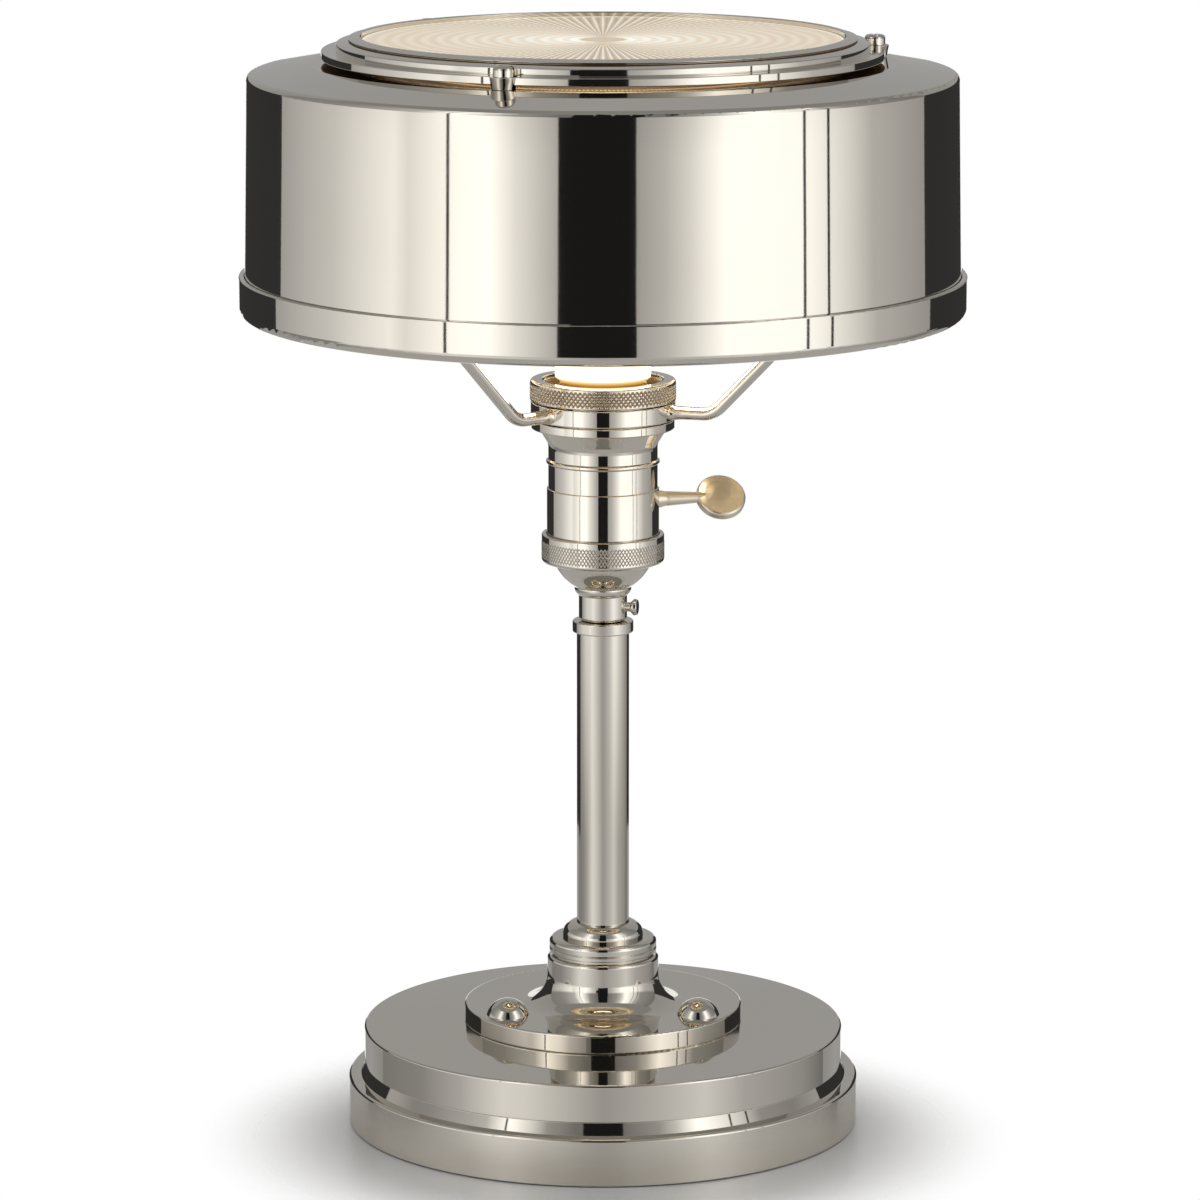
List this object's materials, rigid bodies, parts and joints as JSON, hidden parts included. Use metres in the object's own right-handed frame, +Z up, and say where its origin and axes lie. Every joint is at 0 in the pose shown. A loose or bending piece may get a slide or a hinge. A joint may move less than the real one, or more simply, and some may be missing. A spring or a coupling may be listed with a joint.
{
  "type": "task lamp",
  "caption": "Table task lamp with a weighted round base, short stem, turn-key socket on a side paddle, and a metal drum shade topped by a framed prismatic glass lens.",
  "frame": {"origin": "on the lamp's axis, on the surface that the lamp stands on", "axes": "+Z up along the stem; +X to the right for someone in front of the lamp, about where the switch key points; +Y to the back, where the cord bushing is"},
  "size_m": [0.2168, 0.2168, 0.331],
  "materials": {
    "polished_nickel": "polished nickel plate on brass, mirror bright",
    "cast_weight": "rough casting, black primer",
    "felt": "black wool felt",
    "black_rubber": "matt moulded rubber",
    "zinc_steel": "zinc plated steel",
    "fibre_liner": "brown fibre board",
    "moulded_insulator": "black thermoset moulding",
    "bare_brass": "bare stamped brass",
    "pressed_glass": "pressed prismatic glass",
    "opal_glass": "opal white glass, lit",
    "clear_glass": "clear glass tube",
    "black_glass": "black glass insulator",
    "bulb_aluminium": "thin drawn aluminium",
    "tungsten": "drawn wire"
  },
  "bodies": {
    "stand": {"base_shell": "polished_nickel", "base_weight": "cast_weight", "base_pad": "felt", "cord_bushing": "black_rubber", "stem_flange": "polished_nickel", "flange_screws": "polished_nickel", "collar_ring": "polished_nickel", "dome_collar": "polished_nickel", "stem_tube": "polished_nickel", "threaded_pipe": "zinc_steel", "pipe_washer": "zinc_steel", "pipe_nut": "zinc_steel", "stem_ferrule": "polished_nickel", "socket_cap": "polished_nickel", "cap_set_screw": "polished_nickel", "socket_shell": "polished_nickel", "insulating_sleeve": "fibre_liner", "socket_body": "moulded_insulator", "terminal_screws": "bare_brass", "screw_shell": "bare_brass", "centre_contact": "bare_brass"},
    "key": {"switch_key": "polished_nickel", "switch_cam": "moulded_insulator"},
    "clamp": {"lock_ring": "polished_nickel"},
    "shade": {"fitter_ring": "polished_nickel", "shade_arms": "polished_nickel", "arm_feet": "polished_nickel", "shade_drum": "polished_nickel", "shade_rim": "polished_nickel", "lens_frame": "polished_nickel", "lens_gasket": "black_rubber", "lens_glass": "pressed_glass", "lens_retainer": "zinc_steel", "lens_screws": "polished_nickel", "lens_nuts": "zinc_steel"},
    "bulb": {"bulb_tip": "bare_brass", "bulb_insulator": "black_glass", "bulb_base": "bulb_aluminium", "bulb_glass": "opal_glass", "bulb_mount": "clear_glass", "bulb_filament": "tungsten"}
  },
  "joints": [
    {"name": "key_turn", "type": "hinge", "parent": "stand", "child": "key", "pos_m": [0, 0, 0.191], "axis": [0.9781, 0.2079, 0], "continuous": true},
    {"name": "shade_swivel", "type": "hinge", "parent": "stand", "child": "shade", "pos_m": [0, 0, 0.2186], "axis": [0, 0, 1], "continuous": true},
    {"name": "lock_ring_turn", "type": "hinge", "parent": "stand", "child": "clamp", "pos_m": [0, 0, 0.225], "axis": [0, 0, 1], "range_deg": [0, 1440]},
    {"name": "bulb_turn", "type": "hinge", "parent": "stand", "child": "bulb", "pos_m": [0, 0, 0.22], "axis": [0, 0, 1], "range_deg": [0, 1800]}
  ]
}
